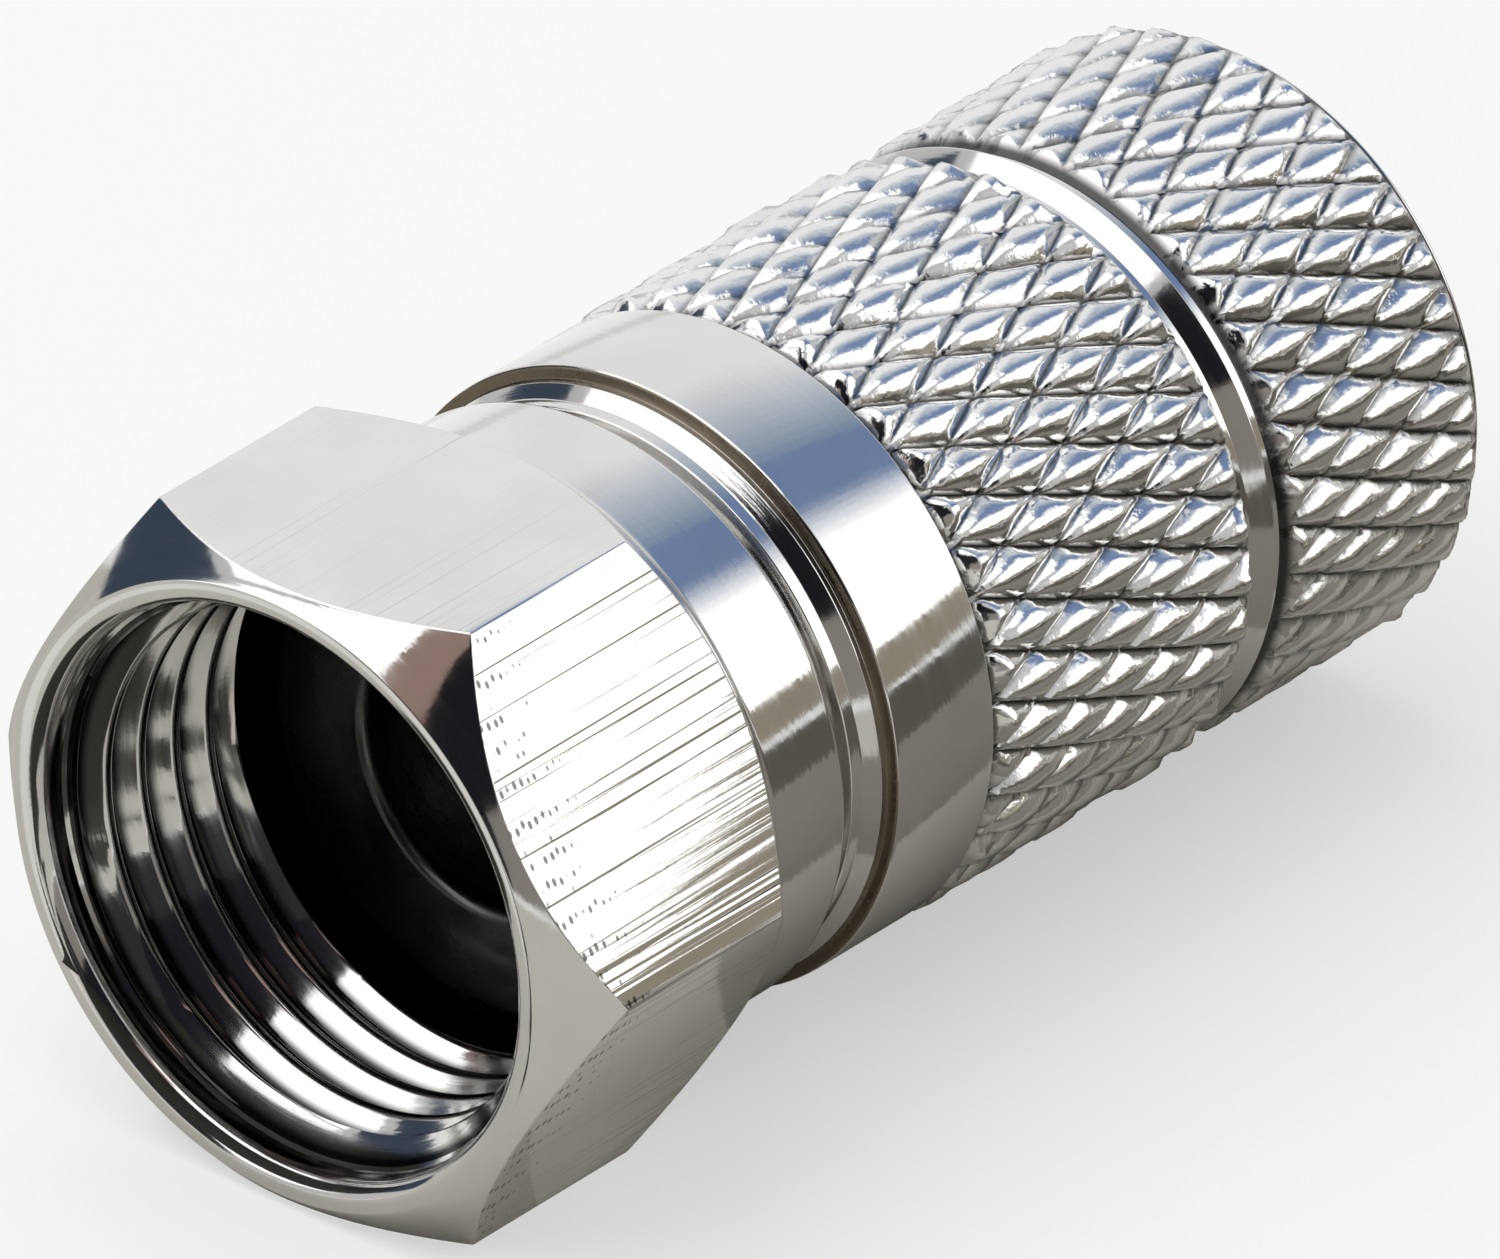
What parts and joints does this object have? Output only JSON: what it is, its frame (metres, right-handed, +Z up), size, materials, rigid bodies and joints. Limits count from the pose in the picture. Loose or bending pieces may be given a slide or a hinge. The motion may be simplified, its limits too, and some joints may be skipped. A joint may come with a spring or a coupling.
{
  "type": "twist-on coaxial plug",
  "caption": "Twist-on coaxial F plug: a free-turning hexagon coupling nut with a fine inner thread on a diamond-knurled cable sleeve.",
  "frame": {"origin": "on the surface that the plug lies on, under the middle of its length, with a flat of the nut on that surface", "axes": "+X along the plug's axis from the nut's mouth to the cable end, +Z up"},
  "size_m": [0.023, 0.0128, 0.011],
  "materials": {
    "coupling_nut": "bright nickel plate, drawn flats and turned chamfers",
    "front_ferrule": "bright nickel plate, turned",
    "knurled_sleeve": "bright nickel plate, turned collar and rolled diamond knurl"
  },
  "bodies": {
    "sleeve": {"knurled_sleeve": "knurled_sleeve", "front_ferrule": "front_ferrule"},
    "nut": {"coupling_nut": "coupling_nut"}
  },
  "joints": [
    {"name": "nut_turn", "type": "hinge", "parent": "sleeve", "child": "nut", "pos_m": [-0.00462, 0, 0.0055], "axis": [1, 0, 0], "continuous": true}
  ]
}
